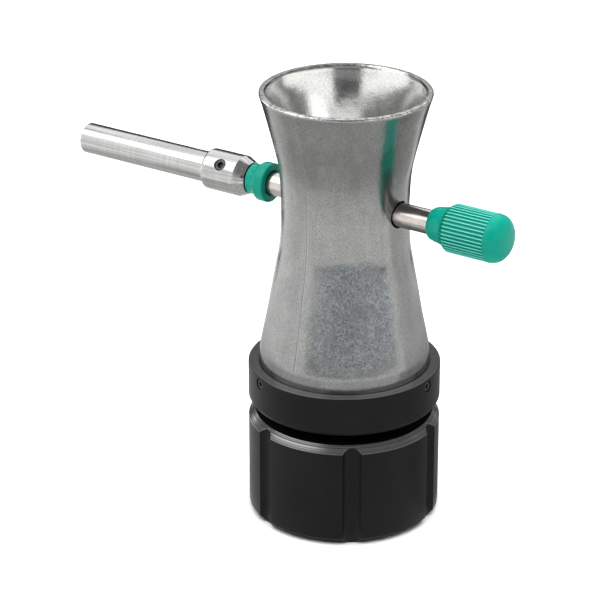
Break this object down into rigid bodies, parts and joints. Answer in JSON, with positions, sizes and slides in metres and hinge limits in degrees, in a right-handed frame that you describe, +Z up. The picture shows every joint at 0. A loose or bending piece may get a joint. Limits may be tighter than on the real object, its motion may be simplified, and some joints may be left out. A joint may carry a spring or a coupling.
{
  "type": "powder trickler",
  "caption": "Bench powder trickler: cast funnel on a fluted screw-adjusted stand, crossed by a hand-turned feed tube with ribbed knob, stop collar and turned discharge tube.",
  "frame": {"origin": "centre of the foot pad's underside, on the bench", "axes": "+Z up the stand and hopper; +X along the feed tube from the discharge end to the knob; +Y across"},
  "size_m": [0.1497, 0.0572, 0.1319],
  "materials": {
    "black_anodised": "black anodised, satin, turned",
    "cast_aluminium": "tumbled casting, semi-gloss",
    "turned_aluminium": "bright turned",
    "steel_tube": "drawn tube, polished",
    "green_plastic": "moulded, semi-gloss",
    "rubber": "matt",
    "black_screw": "black oxide",
    "plain_steel": "zinc plated"
  },
  "bodies": {
    "stand": {"base": "black_anodised", "foot_pad": "rubber"},
    "friction_ring": {"friction_ring": "rubber"},
    "head": {"mounting_ring": "black_anodised", "threaded_stem": "black_anodised", "stem_screw": "black_screw", "guide_washer": "plain_steel", "stop_screw": "black_screw", "ring_screw_1": "black_screw", "ring_screw_2": "black_screw", "ring_screw_3": "black_screw", "hopper": "cast_aluminium", "tube_seal_left": "rubber", "tube_seal_right": "rubber"},
    "stop_collar": {"stop_collar": "green_plastic"},
    "feed_tube": {"trickler_tube": "steel_tube", "knob": "green_plastic"},
    "extension": {"extension_tube": "turned_aluminium", "extension_screw": "black_screw"}
  },
  "joints": [
    {"name": "height_slide", "type": "slide", "parent": "stand", "child": "friction_ring", "axis": [0, 0, 1], "range_m": [-0.0034, 0.0124]},
    {"name": "height_turn", "type": "hinge", "parent": "friction_ring", "child": "head", "pos_m": [0, 0, 0.0279], "axis": [0, 0, 1], "range_deg": [-410, 1490]},
    {"name": "tube_slide", "type": "slide", "parent": "head", "child": "stop_collar", "axis": [1, 0, 0], "range_m": [-0.0108, 0.0067]},
    {"name": "tube_spin", "type": "hinge", "parent": "stop_collar", "child": "feed_tube", "pos_m": [0, 0, 0.098], "axis": [1, 0, 0], "continuous": true},
    {"name": "extension_slide", "type": "slide", "parent": "feed_tube", "child": "extension", "axis": [-1, 0, 0], "range_m": [0, 0.008]}
  ],
  "couplings": [
    {"joint": "height_turn", "follows": "height_slide", "rad_per_m": 2094.4}
  ]
}
